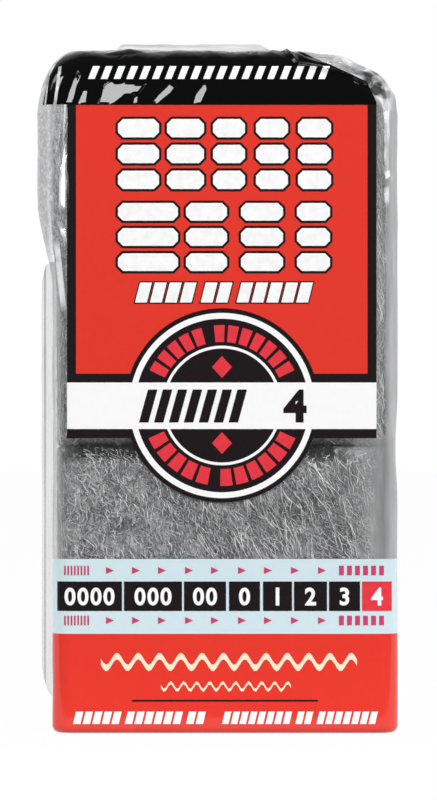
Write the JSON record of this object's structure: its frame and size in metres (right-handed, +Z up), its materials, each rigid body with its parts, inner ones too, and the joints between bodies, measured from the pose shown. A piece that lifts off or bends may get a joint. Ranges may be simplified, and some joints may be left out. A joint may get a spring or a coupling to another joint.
{
  "type": "pack of steel wool pads",
  "caption": "Upright retail pack of steel wool pads: two stacks of rolled pads inside a welded, printed clear film bag with a flat base and a gathered top.",
  "frame": {"origin": "middle of the flat base, on the surface that the pack stands on", "axes": "+Z up the pack, +X to the right as seen from the front, -Y out of the printed front"},
  "size_m": [0.1104, 0.058, 0.2101],
  "materials": {
    "printed_film": "clear glossy polyethylene film, 0.06 mm on the real pack, printed in red, black, white and pale blue on the front",
    "steel_wool": "extra coarse steel strands, mostly running one way, loosely rolled into a springy pad"
  },
  "bodies": {
    "root": {"film_bag": "printed_film", "pad_upper_1": "steel_wool", "pad_upper_2": "steel_wool", "pad_upper_3": "steel_wool", "pad_upper_4": "steel_wool", "pad_upper_5": "steel_wool", "pad_upper_6": "steel_wool", "pad_lower_1": "steel_wool", "pad_lower_2": "steel_wool", "pad_lower_3": "steel_wool", "pad_lower_4": "steel_wool", "pad_lower_5": "steel_wool", "pad_lower_6": "steel_wool"}
  },
  "joints": []
}
